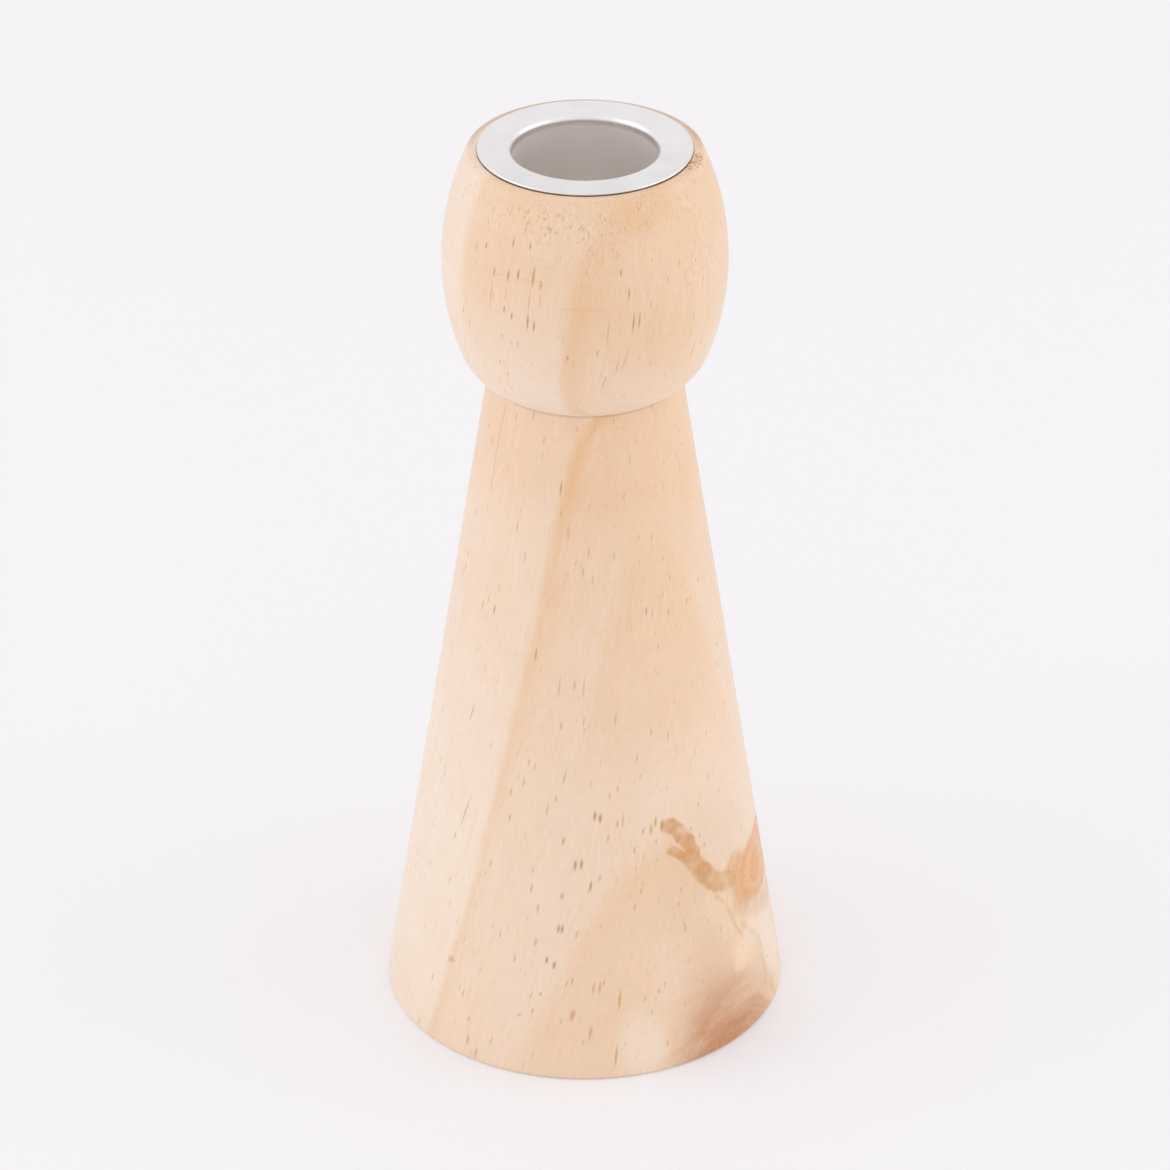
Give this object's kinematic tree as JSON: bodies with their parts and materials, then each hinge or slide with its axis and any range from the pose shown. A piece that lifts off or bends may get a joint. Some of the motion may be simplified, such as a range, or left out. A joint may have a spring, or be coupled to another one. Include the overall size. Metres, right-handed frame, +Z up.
{
  "type": "candle holder",
  "caption": "Turned wooden candle holder: a tall cone stem under a barrel-shaped head, with a flanged metal cup in its top that holds a taper candle.",
  "frame": {"origin": "centre of the base, on the surface that the holder stands on", "axes": "+Z up along the turning axis, towards the candle; the body is round, so X and Y are free, and -Y faces the picture's camera"},
  "size_m": [0.065, 0.065, 0.1505],
  "materials": {
    "softwood": "fine-sanded pale softwood, unvarnished",
    "cup_aluminium": "satin, as pressed"
  },
  "bodies": {
    "holder": {"turned_body": "softwood"},
    "cup": {"candle_cup": "cup_aluminium"}
  },
  "joints": [
    {"name": "cup_lift", "type": "slide", "parent": "holder", "child": "cup", "axis": [0, 0, 1], "range_m": [0, 0.03]}
  ]
}
